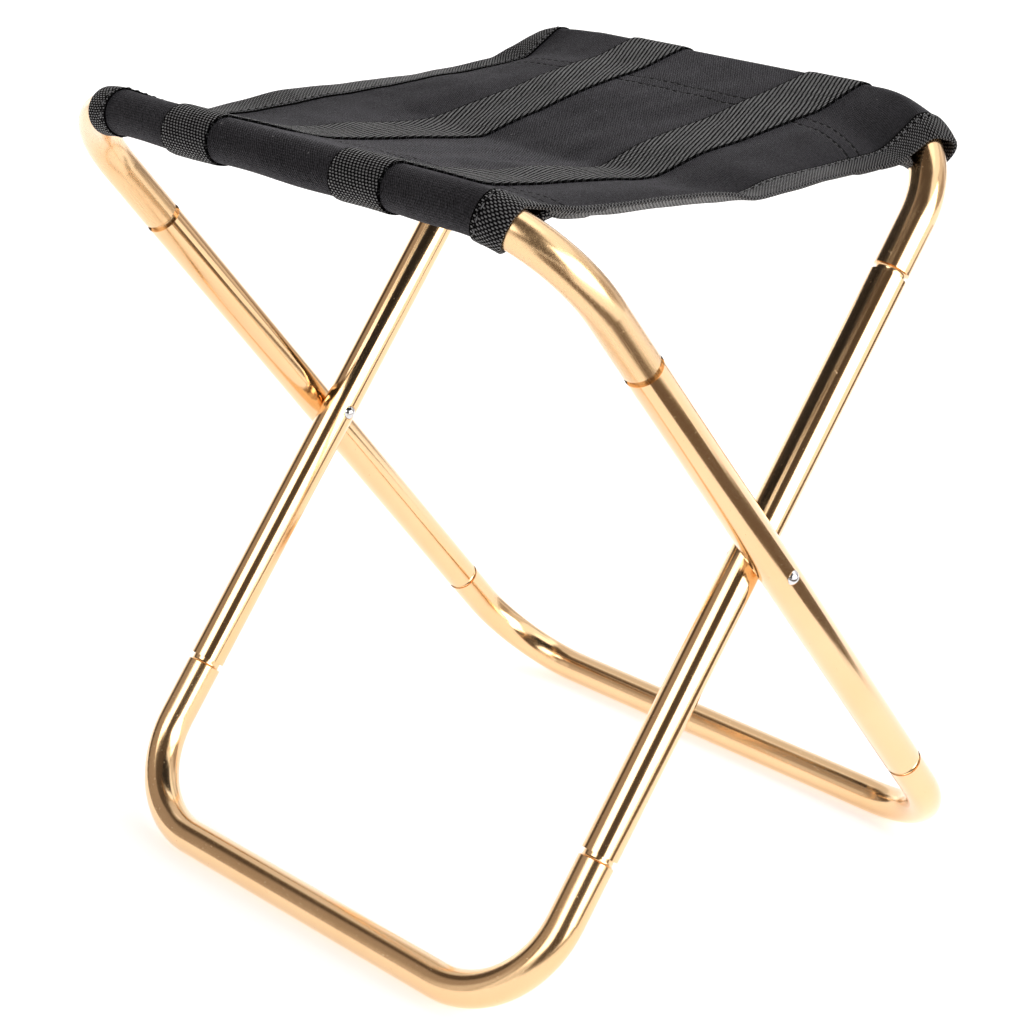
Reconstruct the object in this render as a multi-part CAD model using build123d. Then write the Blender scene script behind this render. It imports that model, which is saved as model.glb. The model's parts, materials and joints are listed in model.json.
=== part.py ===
from build123d import *
import os
from math import cos, radians, sin, sqrt

os.makedirs("parts", exist_ok=True)

# ---------------------------------------------------------------------------
# Folding camp stool: two tube frames crossed on rivets, with a cloth seat.
# Millimetres.  +X runs along the rails, +Z is up, -Y is the front edge.
# The origin is on the floor, at the middle of the whole object's outline.
# ---------------------------------------------------------------------------

# Frames: "outer" is the wide one.  Its top rail is at the front and its bottom
# rail at the rear.  "inner" is the narrow one, and leans the other way.
PIVOT_HEIGHT = 140.0
OUTER_LEAN = 41.3  # degrees from vertical
INNER_LEAN = 36.6
OUTER_TOP_REACH = 172.0  # pivot to top rail, along the legs
INNER_TOP_REACH = 163.5

LEG_OD = 13.0
BEND_OD = 12.8
TUBE_WALL = 1.2
BEND_RADIUS = 36.0  # centre line of every corner
LEG_GAP = 0.3  # between crossing legs
OUTER_HALF_WIDTH = 113.75  # centre line of the outer legs
INNER_HALF_WIDTH = OUTER_HALF_WIDTH - LEG_OD - LEG_GAP

# Leg tubes, from the pivot to each open end
OUTER_LEG_UP = 108.5
OUTER_LEG_DOWN = 122.5
INNER_LEG_UP = 106.0
INNER_LEG_DOWN = 106.5

# Swaged end of a bend: a rounded shoulder, then a neck pressed into the leg
NECK_SHOWING = 1.2
NECK_INSERTION = 20.0
NECK_FIT = 0.02

# Rivets
RIVET_SHANK = 1.5  # radius
RIVET_HOLE_TIGHT = 1.52
RIVET_HOLE_RUNNING = 1.56
RIVET_HEAD = 2.5  # radius
RIVET_DOME = 1.7
SEAT_FLAT = 0.35  # depth of the flat pressed under each head
HEAD_PLAY = 0.1

# Seat cloth and webbing
SEAT_CENTRE = 4.0  # the cloth sits a little towards +X on its rails
SEAT_HALF_LENGTH = 91.0
SLEEVE_GAP = 0.15
CLOTH = 0.8
WEBBING = 1.0
LAYER_GAP = 0.1
STRAP_WIDTH = 25.0
STRAP_OFFSET = 40.5  # each strap's middle, from the middle of the cloth
BINDING_WIDTH = 12.0
CREASE_Y = -7.0  # the lowest line of the seat, measured from the pivot
SAG_MIDDLE = 118.0  # height of that line above the pivot
SAG_EDGE = 122.0
FRONT_HANG = 0.5  # how hollow each half of the seat is, 0 for straight
REAR_HANG = 0.15
CLOTH_ENTRY = 5.5  # the panel meets each sleeve this far above the rail's axis

# Worked out
LEG_R = LEG_OD / 2
BEND_R = BEND_OD / 2
NECK_R = LEG_R - TUBE_WALL - NECK_FIT
OUTER_BOTTOM_REACH = (PIVOT_HEIGHT - BEND_R) / cos(radians(OUTER_LEAN))
INNER_BOTTOM_REACH = (PIVOT_HEIGHT - BEND_R) / cos(radians(INNER_LEAN))
SLEEVE_IN = BEND_R + SLEEVE_GAP
SLEEVE_OUT = SLEEVE_IN + CLOTH
LOOP_IN = SLEEVE_OUT + LAYER_GAP
LOOP_OUT = LOOP_IN + WEBBING
REAR_END = OUTER_BOTTOM_REACH * sin(radians(OUTER_LEAN)) + BEND_R
FRONT_END = OUTER_TOP_REACH * sin(radians(OUTER_LEAN)) + LOOP_OUT
PIVOT_Y = (FRONT_END - REAR_END) / 2
SEAT_LEFT = SEAT_CENTRE - SEAT_HALF_LENGTH
SEAT_RIGHT = SEAT_CENTRE + SEAT_HALF_LENGTH


def place(shape, lean):
    """Tilt a shape drawn upright about the pivot, and lift it to the pivot."""
    return Pos(0, PIVOT_Y, PIVOT_HEIGHT) * Rot(lean, 0, 0) * shape


class Frame:
    """One of the two frames: its lean (positive leans its top forward) and its rails."""

    def __init__(self, lean, half_width, top_reach, bottom_reach, leg_up, leg_down):
        self.lean = lean
        self.half_width = half_width
        self.top_reach = top_reach
        self.bottom_reach = bottom_reach
        self.leg_up = leg_up
        self.leg_down = leg_down
        self.corner = half_width - BEND_RADIUS

    def top_rail_point(self, x):
        """The Y and Z of the top rail's centre line at a given X."""
        past_corner = max(0.0, abs(x) - self.corner)
        drop = BEND_RADIUS - sqrt(BEND_RADIUS**2 - past_corner**2)
        reach = self.top_reach - drop
        tilt = radians(self.lean)
        return PIVOT_Y - reach * sin(tilt), PIVOT_HEIGHT + reach * cos(tilt)

    def along_top_rail(self, distance):
        """A point of the upright top rail, at a distance along it from its middle."""
        side = 1 if distance > 0 else -1
        turn = max(0.0, abs(distance) - self.corner) / BEND_RADIUS
        across = min(abs(distance), self.corner) + BEND_RADIUS * sin(turn)
        return (side * across, 0, self.top_reach - BEND_RADIUS * (1 - cos(turn)))


OUTER = Frame(
    lean=OUTER_LEAN,
    half_width=OUTER_HALF_WIDTH,
    top_reach=OUTER_TOP_REACH,
    bottom_reach=OUTER_BOTTOM_REACH,
    leg_up=OUTER_LEG_UP,
    leg_down=OUTER_LEG_DOWN,
)
INNER = Frame(
    lean=-INNER_LEAN,
    half_width=INNER_HALF_WIDTH,
    top_reach=INNER_TOP_REACH,
    bottom_reach=INNER_BOTTOM_REACH,
    leg_up=INNER_LEG_UP,
    leg_down=INNER_LEG_DOWN,
)


# ------------------------------- tube frames -------------------------------

def bend_path(half_width, reach, start):
    """The centre line of a U-bend drawn upright: up one arm, across, down the other."""
    points = [
        (-half_width, 0, start),
        (-half_width, 0, reach),
        (half_width, 0, reach),
        (half_width, 0, start),
    ]
    return FilletPolyline(*points, radius=BEND_RADIUS)


def tube_along(path, outer, inner=0.0):
    """A round tube along a path, or a solid bar where inner is 0."""
    section = Circle(outer) - Circle(inner) if inner else Circle(outer)
    return sweep(path.location_at(0) * section, path)


def swaged_end(leg_end):
    """The rounded shoulder and the hollow neck at the end of a bend, about the Z axis."""
    shoulder = leg_end + NECK_SHOWING
    round_over = BEND_R - NECK_R
    neck_bore = NECK_R - TUBE_WALL
    tube_bore = BEND_R - TUBE_WALL
    with BuildPart() as end:
        with BuildSketch(Plane.XZ):
            with BuildLine():
                Line((neck_bore, leg_end - NECK_INSERTION), (NECK_R, leg_end - NECK_INSERTION))
                Line((NECK_R, leg_end - NECK_INSERTION), (NECK_R, shoulder))
                RadiusArc((NECK_R, shoulder), (BEND_R, shoulder + round_over), round_over)
                Line((BEND_R, shoulder + round_over), (BEND_R, shoulder + 2 * round_over))
                Line((BEND_R, shoulder + 2 * round_over), (tube_bore, shoulder + 2 * round_over))
                Line((tube_bore, shoulder + 2 * round_over), (neck_bore, shoulder + round_over / 2))
                Line((neck_bore, shoulder + round_over / 2), (neck_bore, leg_end - NECK_INSERTION))
            make_face()
        revolve(axis=Axis.Z)
    return end.part


def u_bend(half_width, reach, leg_end):
    """A whole U-bend drawn upright, with a swaged end on each arm."""
    arm_start = leg_end + NECK_SHOWING + 2 * (BEND_R - NECK_R)
    path = bend_path(half_width, reach, arm_start)
    tube = tube_along(path, BEND_R, BEND_R - TUBE_WALL)
    for side in (-1, 1):
        tube += Pos(side * half_width, 0, 0) * swaged_end(leg_end)
    return tube


def leg(frame, side, face, hole):
    """One straight leg, with its rivet hole and the flat under the rivet head.

    side is -1 for left and 1 for right; face is the side of the tube that the head sits on.
    """
    length = frame.leg_up + frame.leg_down
    middle = (frame.leg_up - frame.leg_down) / 2
    tube = Pos(0, 0, middle) * (Cylinder(LEG_R, length) - Cylinder(LEG_R - TUBE_WALL, length))
    tube -= Rot(0, 90, 0) * Cylinder(hole, LEG_OD + 2)
    tube -= Pos(face * (LEG_R - SEAT_FLAT + 2), 0, 0) * Rot(0, 90, 0) * Cylinder(RIVET_HEAD + 0.2, 4)
    return Pos(side * frame.half_width, 0, 0) * tube


def rivet(side):
    """One pivot rivet along X, with a domed head outside the outer leg and inside the inner leg."""
    outer_seat = OUTER_HALF_WIDTH + LEG_R - SEAT_FLAT
    inner_seat = INNER_HALF_WIDTH - LEG_R + SEAT_FLAT - HEAD_PLAY
    with BuildPart() as whole:
        with BuildSketch(Plane.XY):
            with BuildLine():
                inner_tip = (inner_seat - RIVET_DOME, 0)
                inner_rim = (inner_seat, RIVET_HEAD)
                outer_rim = (outer_seat, RIVET_HEAD)
                outer_tip = (outer_seat + RIVET_DOME, 0)
                dome_radius = (RIVET_HEAD**2 + RIVET_DOME**2) / (2 * RIVET_DOME)
                RadiusArc(inner_tip, inner_rim, dome_radius)
                Line(inner_rim, (inner_seat, RIVET_SHANK))
                Line((inner_seat, RIVET_SHANK), (outer_seat, RIVET_SHANK))
                Line((outer_seat, RIVET_SHANK), outer_rim)
                RadiusArc(outer_rim, outer_tip, dome_radius)
                Line(outer_tip, inner_tip)
            make_face()
        revolve(axis=Axis.X)
    whole = whole.part
    return whole if side > 0 else mirror(whole, about=Plane.YZ)


# --------------------------------- the seat --------------------------------

def rail_bar(frame, radius):
    """A solid bar along a whole top bend, in place."""
    path = bend_path(frame.half_width, frame.top_reach, frame.leg_up)
    return place(tube_along(path, radius), frame.lean)


def rail_wrap(frame, start, end, outer, inner):
    """A tube round a top rail, in place, between two distances along the rail from its middle."""
    edges = []
    for zone_start, zone_end in ((start, -frame.corner), (-frame.corner, frame.corner), (frame.corner, end)):
        low, high = max(start, zone_start), min(end, zone_end)
        if low >= high:
            continue
        ends = frame.along_top_rail(low), frame.along_top_rail(high)
        if zone_end == frame.corner:
            edges.append(Line(*ends))
        else:
            edges.append(ThreePointArc(ends[0], frame.along_top_rail((low + high) / 2), ends[1]))
    return place(tube_along(Wire(edges), outer, inner), frame.lean)


def seat_height(t, middle, end, hang):
    """Height of the cloth at t, from 0 at the crease to 1 at a rail."""
    return middle + (end - middle) * ((1 - hang) * t + hang * t**3)


def seat_section(x, below, above):
    """The seat's cross-section at X, from rail to rail, between two offsets from its top face."""
    front_y, front_z = OUTER.top_rail_point(x)
    rear_y, rear_z = INNER.top_rail_point(x)
    crease = PIVOT_Y + CREASE_Y
    from_middle = min(1.0, abs(x - SEAT_CENTRE) / SEAT_HALF_LENGTH)
    middle = PIVOT_HEIGHT + SAG_MIDDLE + (SAG_EDGE - SAG_MIDDLE) * from_middle**2
    line = []
    for t in (1.0, 0.7, 0.4, 0.15):
        height = seat_height(t, middle, front_z + CLOTH_ENTRY, FRONT_HANG)
        line.append((crease + (front_y - crease) * t, height))
    for t in (0.15, 0.4, 0.7, 1.0):
        height = seat_height(t, middle, rear_z + CLOTH_ENTRY, REAR_HANG)
        line.append((crease + (rear_y - crease) * t, height))
    lower = [Vector(x, y, z + below) for y, z in line]
    upper = [Vector(x, y, z + above) for y, z in reversed(line)]
    return make_face(Polyline(*lower, *upper, close=True))


def seat_band(stations, below, above):
    """A strip of the seat between the first and last X in stations."""
    sections = [seat_section(x, below, above) for x in stations]
    return loft(sections, ruled=True)


def strap_stations(middle):
    return [middle - STRAP_WIDTH / 2, middle, middle + STRAP_WIDTH / 2]


PANEL_STATIONS = [
    SEAT_LEFT,
    SEAT_LEFT + BINDING_WIDTH,
    -INNER.corner,
    *strap_stations(SEAT_CENTRE - STRAP_OFFSET),
    SEAT_CENTRE,
    *strap_stations(SEAT_CENTRE + STRAP_OFFSET),
    INNER.corner,
    SEAT_RIGHT - BINDING_WIDTH,
    SEAT_RIGHT,
]


def clear_of_rails(shape, radius):
    """Cut a seat piece back from both top rails."""
    return shape - rail_bar(OUTER, radius) - rail_bar(INNER, radius)


def seat_panel():
    return clear_of_rails(seat_band(PANEL_STATIONS, -CLOTH, 0), SLEEVE_OUT + LAYER_GAP)


def panel_clearance():
    """The room that the panel takes where it runs in under a loop."""
    return seat_band(PANEL_STATIONS, -CLOTH - 2 * LAYER_GAP, 2 * LAYER_GAP)


def strap(middle):
    band = seat_band(strap_stations(middle), 2 * LAYER_GAP, 2 * LAYER_GAP + WEBBING)
    return clear_of_rails(band, LOOP_OUT + LAYER_GAP)


def loop(frame, start, end):
    """Webbing round a sleeve, open where the panel runs in."""
    return largest(rail_wrap(frame, start, end, LOOP_OUT, LOOP_IN) - panel_clearance())


def binding(edge, inward):
    """Webbing folded over one side edge of the panel.  inward is 1 or -1 along X."""
    inner_edge = edge + inward * BINDING_WIDTH
    outer_edge = edge - inward * (LAYER_GAP + WEBBING)
    stations = sorted([inner_edge, edge, outer_edge])
    around = seat_band(stations, -CLOTH - LAYER_GAP - WEBBING, LAYER_GAP + WEBBING)
    room = seat_band(sorted([inner_edge, edge]), -CLOTH - LAYER_GAP, LAYER_GAP)
    lip = seat_band(sorted([edge, edge - inward * LAYER_GAP]), -CLOTH - LAYER_GAP, LAYER_GAP)
    return clear_of_rails(around - room - lip, LOOP_OUT + LAYER_GAP)


def largest(shape):
    """The biggest solid of a shape, so that slivers are dropped."""
    return max(shape.solids(), key=lambda solid: solid.volume)


# ------------------------------- all the nodes -----------------------------

def frame_nodes(name, frame, hole, head_face):
    nodes = {}
    top = u_bend(frame.half_width, frame.top_reach, frame.leg_up)
    bottom = u_bend(frame.half_width, frame.bottom_reach, frame.leg_down)
    nodes[name + "_top_bend"] = place(top, frame.lean)
    nodes[name + "_bottom_bend"] = place(mirror(bottom, about=Plane.XY), frame.lean)
    for side, word in ((-1, "left"), (1, "right")):
        tube = leg(frame, side, side * head_face, hole)
        nodes[name + "_leg_" + word] = place(tube, frame.lean)
    return nodes


def seat_nodes():
    nodes = {"seat_panel": seat_panel()}
    edges = (("left", SEAT_LEFT, 1), ("right", SEAT_RIGHT, -1))
    for rail, frame in (("front", OUTER), ("rear", INNER)):
        nodes[rail + "_sleeve"] = rail_wrap(frame, SEAT_LEFT, SEAT_RIGHT, SLEEVE_OUT, SLEEVE_IN)
    for word, side in (("left", -1), ("right", 1)):
        middle = SEAT_CENTRE + side * STRAP_OFFSET
        nodes[word + "_strap"] = strap(middle)
        for rail, frame in (("front", OUTER), ("rear", INNER)):
            node = word + "_strap_" + rail + "_loop"
            nodes[node] = loop(frame, middle - STRAP_WIDTH / 2, middle + STRAP_WIDTH / 2)
    for word, edge, inward in edges:
        nodes[word + "_binding"] = binding(edge, inward)
        ends = sorted([edge, edge + inward * BINDING_WIDTH])
        for rail, frame in (("front", OUTER), ("rear", INNER)):
            nodes[word + "_binding_" + rail + "_loop"] = loop(frame, ends[0], ends[1])
    return nodes


def all_nodes():
    nodes = {}
    nodes.update(frame_nodes("outer", OUTER, RIVET_HOLE_TIGHT, 1))
    nodes.update(frame_nodes("inner", INNER, RIVET_HOLE_RUNNING, -1))
    for side, word in ((-1, "left"), (1, "right")):
        nodes["pivot_rivet_" + word] = Pos(0, PIVOT_Y, PIVOT_HEIGHT) * rivet(side)
    nodes.update(seat_nodes())
    return nodes


for node, shape in all_nodes().items():
    export_step(shape, "parts/" + node + ".step")
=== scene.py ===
import json
from math import cos, pi, radians, sin

import bpy
import numpy as np
from mathutils import Matrix, Vector, noise


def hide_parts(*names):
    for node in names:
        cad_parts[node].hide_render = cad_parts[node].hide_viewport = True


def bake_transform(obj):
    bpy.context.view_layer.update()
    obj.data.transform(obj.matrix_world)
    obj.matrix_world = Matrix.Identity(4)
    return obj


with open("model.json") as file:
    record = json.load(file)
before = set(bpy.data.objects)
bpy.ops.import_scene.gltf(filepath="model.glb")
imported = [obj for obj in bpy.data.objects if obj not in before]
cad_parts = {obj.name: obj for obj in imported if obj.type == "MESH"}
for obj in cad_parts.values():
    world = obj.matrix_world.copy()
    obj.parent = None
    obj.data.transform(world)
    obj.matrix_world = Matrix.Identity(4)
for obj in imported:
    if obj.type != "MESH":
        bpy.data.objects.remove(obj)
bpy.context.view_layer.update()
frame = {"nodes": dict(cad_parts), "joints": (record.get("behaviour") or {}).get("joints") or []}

# ---------------------------------------------------------------------------
# Folding camp stool.  The tubes and rivets are the CAD parts; this script
# gives them their finish and builds the sewn cloth seat round the two top
# rails.  Shapes are worked out in millimetres and stored in metres.
# X runs along the rails, Z is up and -Y is the front, as in the CAD.
# ---------------------------------------------------------------------------

MM = 0.001
FOLD = next(joint for joint in frame["joints"] if joint["name"] == "fold")
PIVOT_Y, PIVOT_Z = FOLD["pos_m"][1] / MM, FOLD["pos_m"][2] / MM

# The two top rails, as the CAD has them
BEND_RADIUS = 36.0
FRONT_LEAN, FRONT_REACH, FRONT_HALF_WIDTH = -41.3, 172.0, 113.75
REAR_LEAN, REAR_REACH, REAR_HALF_WIDTH = 36.6, 163.5, 100.45
STEEPEST = 0.93  # sine of the furthest turn of a rail that the sleeve follows
# How squarely each sleeve's ends are cut to its bent tube: 0 is a plane of constant X.
# For the left end, then the right end: above the tube's axis and below it.
FRONT_SQUARE = ((1.0, 1.0), (1.0, 1.0))
REAR_SQUARE = ((0.0, 0.0), (0.5, 1.0))

# Layers of the seat
CLOTH = 0.5
WEBBING = 0.85
BINDING = 0.5
SLEEVE_RADIUS = 6.9  # to the middle of the cloth
RING_RADIUS = 7.2  # where the binding is folded round a sleeve's end
RING_TAPER = 2.0  # how far the sleeve takes to widen beside its bound end
BINDING_WIDTH = 8.0
BINDING_STITCH = 1.4  # from the binding's inner edge to the row of stitches that holds it
STRAP_WIDTH = 25.0
LAYERS_APART = 0.6  # the hem below the seat where they are sewn together
STRAP_LIFT = 0.04  # between the cloth and what is sewn on it, so that faces don't meet
BINDING_LIFT = 0.03

# The cloth's side edges in X: at the front rail, half way and at the rear rail
LEFT_EDGE = (-86.5, -88.5, -91.0)
RIGHT_EDGE = (96.0, 95.5, 93.0)
MIDDLE = 4.0  # X of the line along which the seat hangs as its middle

# Distances from a rail's axis at which its sleeve is sewn, and where the hem ends
SEAM_ROWS = (32.0, 37.5)
HEM = 40.0
END_PULL = 19.0  # how much closer the two layers meet at a sleeve's ends
PULL_BEGINS, PULL_FULL = 14.0, 3.0  # in from those ends
HEM_SAG = 1.2  # how far the hem hangs between its rail and its seam

# How the seat hangs: height above the floor against Y from the pivot, along its middle
# and along the inner and outer sides of the two edge bindings
SAG = (
    (-85.0, 268.0),
    (-60.0, 264.0),
    (-42.0, 262.0),
    (-18.0, 258.7),
    (-7.0, 257.6),
    (12.0, 262.6),
    (43.0, 268.5),
    (75.0, 274.2),
)
LEFT_INNER = ((-85, 266.4), (-72, 263.6), (-57, 263.1), (-41, 263.0), (-28, 263.7), (-13, 264.7),
              (31, 265.8), (58, 266.3), (75, 267.2))
LEFT_OUTER = ((-85, 265.8), (-76, 263.9), (-59, 265.1), (-43, 265.9), (-23, 266.2), (-3, 266.1),
              (24, 265.7), (46, 266.6), (66, 267.4), (75, 271.4))
RIGHT_INNER = ((-85, 264.2), (-80, 263.0), (-60, 261.4), (-25, 259.4), (-11, 258.5), (10, 261.2),
               (34, 261.9), (59, 262.4), (70, 263.0), (75, 264.6))
RIGHT_OUTER = ((-85, 267.4), (-80, 266.7), (-60, 265.5), (-40, 264.3), (-25, 263.3), (-11, 261.4),
               (-6, 260.0), (4, 259.7), (20, 260.0), (44, 260.8), (68, 261.0), (75, 261.6))
EDGE_PULL = 2.2  # how much of the edges' own height stays near the edges
INBOARD = (-85.0, 75.0)  # beyond these the cloth runs straight up to each rail
SOFTNESS = 2.4  # how far each bend along the seat is spread out

# Straps in X: at the front rail, across the seat and at the rear rail
STRAPS = {
    "left_strap": ((-48.5, -26.5), (-46.0, -21.0), (-48.5, -23.0)),
    "right_strap": ((30.5, 52.5), (34.5, 58.5), (34.0, 58.5)),
}


# ------------------------------- small helpers -----------------------------

def smooth(edge0, edge1, value):
    """0 before edge0, 1 after edge1, and an even ease between them."""
    t = np.clip((value - edge0) / (edge1 - edge0), 0, 1)
    return t * t * (3 - 2 * t)


def spread_out(values, amount, spacing):
    """A line of values blurred by a Gaussian, its ends carried on straight."""
    reach = int(3 * amount / spacing) + 1
    steps = np.arange(-reach, reach + 1) * spacing
    weight = np.exp(-0.5 * (steps / amount) ** 2)
    before = values[0] - (values[1] - values[0]) * np.arange(reach, 0, -1)
    after = values[-1] + (values[-1] - values[-2]) * np.arange(1, reach + 1)
    padded = np.concatenate([before, values, after])
    return np.convolve(padded, weight / weight.sum(), mode="valid")


def knots(table, at):
    """A line's value at a place, from its list of (place, value)."""
    return np.interp(at, [k[0] for k in table], [k[1] for k in table])


def mesh_object(name, points, faces, uvs=None):
    """A smooth-shaded mesh object from points in millimetres and its faces."""
    mesh = bpy.data.meshes.new(name)
    mesh.from_pydata((np.asarray(points) * MM).tolist(), [], faces)
    mesh.polygons.foreach_set("use_smooth", [True] * len(mesh.polygons))
    if uvs is not None:
        layer = mesh.uv_layers.new(name="weave")
        loops = np.zeros(len(mesh.loops), np.int32)
        mesh.loops.foreach_get("vertex_index", loops)
        layer.data.foreach_set("uv", np.asarray(uvs, np.float32)[loops].ravel())
    mesh.update()
    obj = bpy.data.objects.new(name, mesh)
    bpy.context.scene.collection.objects.link(obj)
    return obj


def quads(rows, columns, closed=False):
    """Faces of a grid of points, row by row; closed joins its last column to its first."""
    faces = []
    for row in range(rows - 1):
        for column in range(columns if closed else columns - 1):
            after = (column + 1) % columns
            here, above = row * columns, (row + 1) * columns
            faces.append((here + column, here + after, above + after, above + column))
    return faces


# ------------------------------- the cloth's shape -------------------------

class Rail:
    """A top rail and its corners."""

    def __init__(self, lean, reach, half_width, outward, square, edges):
        self.up = np.array([sin(radians(lean)), cos(radians(lean))])
        self.reach = reach
        self.corner = half_width - BEND_RADIUS
        self.outward = outward  # -1 for the front rail, 1 for the rear one
        self.square = square
        self.edges = edges  # X of the sleeve's two ends

    def slope(self, x):
        """Sine and cosine of the rail's turn away from X at an X."""
        past = np.clip((np.abs(x) - self.corner) / BEND_RADIUS, 0, STEEPEST)
        return past, np.sqrt(1 - past**2)

    def centre(self, x):
        """The rail's centre line (Y, Z) at an X."""
        _, level = self.slope(x)
        return np.array([PIVOT_Y, PIVOT_Z]) + (self.reach - BEND_RADIUS * (1 - level)) * self.up

    def drop(self, x):
        """How much lower the rail is at an X than along its middle, as a negative height."""
        _, level = self.slope(x)
        return -BEND_RADIUS * (1 - level) * self.up[1]

    def outline(self, x, radius, angles, looseness):
        """Points round the rail (Y, Z), and their shifts in X; angle 0 points inboard, 90 up."""
        turn, level = self.slope(x)
        above, below = self.square[1] if x > 0 else self.square[0]
        towards = np.stack([-self.outward * np.cos(angles), np.sin(angles)], axis=1)
        along = towards @ self.up
        square = np.where(along > 0, above, below)
        side = np.array([-self.up[1], self.up[0]])
        across = towards @ side
        away = radius + looseness(x, angles)
        rise = away * along * (square * level + (1 - square) / level)
        points = self.centre(x) + rise[:, None] * self.up + (away * across)[:, None] * side
        return points, np.sign(x) * square * turn * away * along

    def sleeve_radius(self, x):
        """The sleeve is wider at its bound ends."""
        left, right = self.edges
        start = BINDING_WIDTH + 1.5
        full = start - RING_TAPER
        bound = smooth(left + start, left + full, x) + smooth(right - start, right - full, x)
        return SLEEVE_RADIUS + (RING_RADIUS - SLEEVE_RADIUS) * bound


FRONT = Rail(FRONT_LEAN, FRONT_REACH, FRONT_HALF_WIDTH, -1, FRONT_SQUARE,
             (LEFT_EDGE[0], RIGHT_EDGE[0]))
REAR = Rail(REAR_LEAN, REAR_REACH, REAR_HALF_WIDTH, 1, REAR_SQUARE, (LEFT_EDGE[2], RIGHT_EDGE[2]))
# The highest point of the cloth over each rail, in Y and Z
FRONT_TOP = np.array([PIVOT_Y - 111.5, 276.3])
REAR_TOP = np.array([PIVOT_Y + 95.2, 278.2])

# The grid of the cloth: rows from the front hem over the seat to the rear hem
ALL_ROUND = np.radians(np.arange(20, 340, 0.5))  # the angles tried round a rail
SEAT_ROWS = 240
WRAP_ROWS = 36
HEM_ROWS = 14
ROWS = 2 * HEM_ROWS + 2 * WRAP_ROWS + SEAT_ROWS - 2
FIRST_SEAT_ROW = HEM_ROWS + WRAP_ROWS
LAST_SEAT_ROW = ROWS - FIRST_SEAT_ROW - 1
COLUMNS = 150
# Rows at each end of the cloth that stay bare of straps, bindings and the bindings' stitches
STRAP_START = 4
BINDING_START = 4
BINDING_STITCH_START = 6


def bump(angles, centre, width):
    """1 at the centre angle, fading over the width, both in degrees."""
    return np.exp(-(((np.degrees(angles) - centre) / width) ** 2))


def front_looseness(x, angles):
    """The front sleeve hangs a little unevenly under its rail."""
    return 0.4 * (1 + np.sin(x / 9.0)) * bump(angles, 215, 50)


def rear_looseness(x, angles):
    """The rear sleeve gapes behind its rail at both ends, most at the right."""
    right = smooth(66, 92, x) * 3.6 * bump(angles, 168, 30)
    left = smooth(-68, -91, x) * (2.0 * bump(angles, 150, 50) + 3.2 * bump(angles, 72, 42))
    return right + left


def edges_at(y):
    """The X of both side edges of the cloth at a Y from the pivot."""
    at = (FRONT_TOP[0] - PIVOT_Y, 0, REAR_TOP[0] - PIVOT_Y)
    return np.interp(y, at, LEFT_EDGE), np.interp(y, at, RIGHT_EDGE)


def slung(x, y):
    """Height of a seat with slack edges: the middle line, lowered where the rails bend down."""
    front, rear = FRONT_TOP[0] - PIVOT_Y, REAR_TOP[0] - PIVOT_Y
    share = np.clip((y - front) / (rear - front), 0, 1)
    return knots(SAG, y) + FRONT.drop(x) * (1 - share) + REAR.drop(x) * share


def wrinkles(x, y):
    """Small uneven hollows of the seat, in millimetres."""
    heights = []
    for px, py in zip(x, y):
        wide = noise.noise(Vector((px / 34, py / 30, 1.7)))
        fine = noise.noise(Vector((px / 13 + 4, py / 17, 5.2)))
        pulls = noise.noise(Vector((px / 9, py / 40, 9.1)))
        heights.append(1.0 * wide + 0.45 * fine + 0.35 * pulls)
    return np.array(heights)


def bands_at(y):
    """Both bound edges: the side, X of the inner line, and the heights of the inner and outer lines."""
    left, right = edges_at(y)
    yield -1, left + BINDING_WIDTH, knots(LEFT_INNER, y), knots(LEFT_OUTER, y)
    yield 1, right - BINDING_WIDTH, knots(RIGHT_INNER, y), knots(RIGHT_OUTER, y)


def seat_height(x, y):
    """Height of the cloth at each X and Y, both arrays, with Y from the pivot."""
    heights = np.zeros(len(y))
    for side, inner_x, inner_z, outer_z in bands_at(y):
        share = np.clip((x - MIDDLE) / (inner_x - MIDDLE), 0, 1)
        main = slung(x, y) + share**EDGE_PULL * (inner_z - slung(inner_x, y))
        past = side * (x - inner_x) / BINDING_WIDTH
        band = inner_z + past * (outer_z - inner_z)
        heights = np.where(side * (x - MIDDLE) >= 0, np.where(past > 0, band, main), heights)
    return heights


def tucked_in(x, y):
    """X of the cloth once its bound edges are turned up or down."""
    placed = np.array(x)
    front_y, rear_y = INBOARD
    off_rails = smooth(front_y - 23, front_y, y) * smooth(rear_y + 20, rear_y, y)
    for side, inner_x, inner_z, outer_z in bands_at(y):
        past = np.clip(side * (x - inner_x), 0, None)
        sine = (outer_z - inner_z) / BINDING_WIDTH * off_rails
        placed = placed - side * past * (1 - np.sqrt(1 - sine**2))
    return placed


def seam_distance(rail, x):
    """Where the hem meets the seat: closer to the rail at the ends, where the binding pulls it in."""
    left, right = rail.edges
    at_left = smooth(left + PULL_BEGINS, left + PULL_FULL, x)
    at_right = smooth(right - PULL_BEGINS, right - PULL_FULL, x)
    return SEAM_ROWS[0] - END_PULL * (at_left + at_right)


def tangent_points(rail, x, radius, looseness, seat_point, seam_point):
    """The angles at which the cloth leaves the rail, above for the seat and below for the hem."""
    points, _ = rail.outline(x, radius, ALL_ROUND, looseness)
    above = points - seat_point
    below = points - seam_point
    top = np.argmax(np.arctan2(above[:, 1], rail.outward * above[:, 0]))
    bottom = np.argmin(np.arctan2(below[:, 1], rail.outward * below[:, 0]))
    return ALL_ROUND[top], ALL_ROUND[bottom]


def at_share(y, share):
    """X at a share of the cloth's width, for each Y from the pivot."""
    left, right = edges_at(y)
    return left + (right - left) * share


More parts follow.
